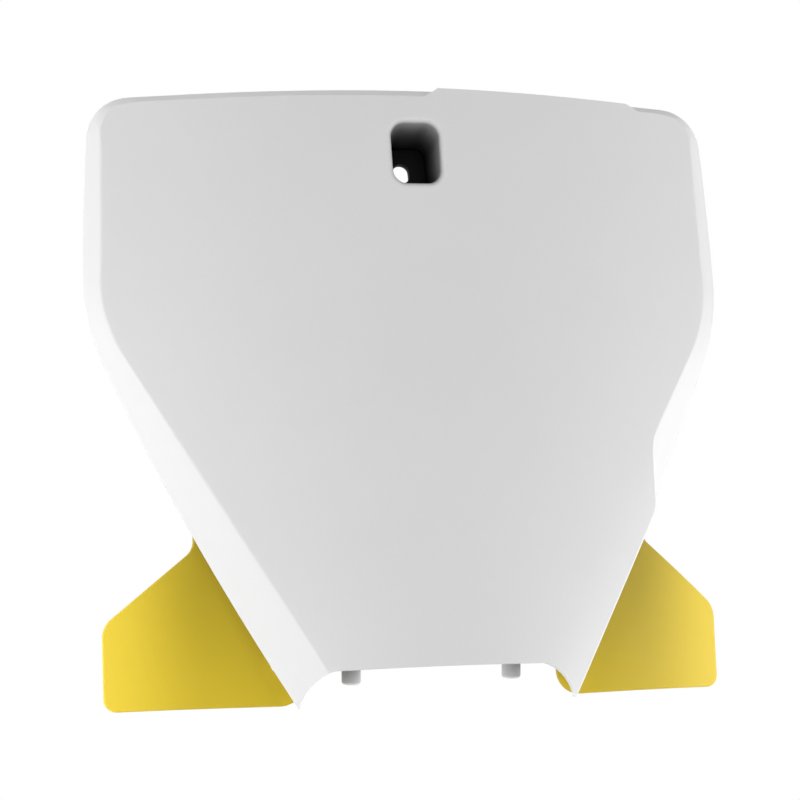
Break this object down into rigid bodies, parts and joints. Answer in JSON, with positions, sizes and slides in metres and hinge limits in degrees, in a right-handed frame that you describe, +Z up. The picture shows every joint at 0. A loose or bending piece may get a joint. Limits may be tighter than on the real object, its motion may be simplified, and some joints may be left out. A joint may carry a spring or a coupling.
{
  "type": "motorcycle front number board",
  "caption": "Leaning front number board for a racing motorbike: a moulded curved face with bevelled sides, a deep screw pocket at the top, locating pegs at the foot and bent side wings.",
  "frame": {"origin": "middle of the screw seat, on the front of the pocket's rear wall", "axes": "+X to the viewer's right as the face is seen, +Y to the back of the board, +Z up; the face leans back by 14 degrees as it does on the machine, and the pegs point along -Z"},
  "size_m": [0.2586, 0.0747, 0.2405],
  "materials": {
    "white_plastic": "smooth satin moulding",
    "yellow_plastic": "smooth satin moulding"
  },
  "bodies": {
    "root": {"number_board": "white_plastic", "left_wing": "yellow_plastic", "right_wing": "yellow_plastic"}
  },
  "joints": []
}
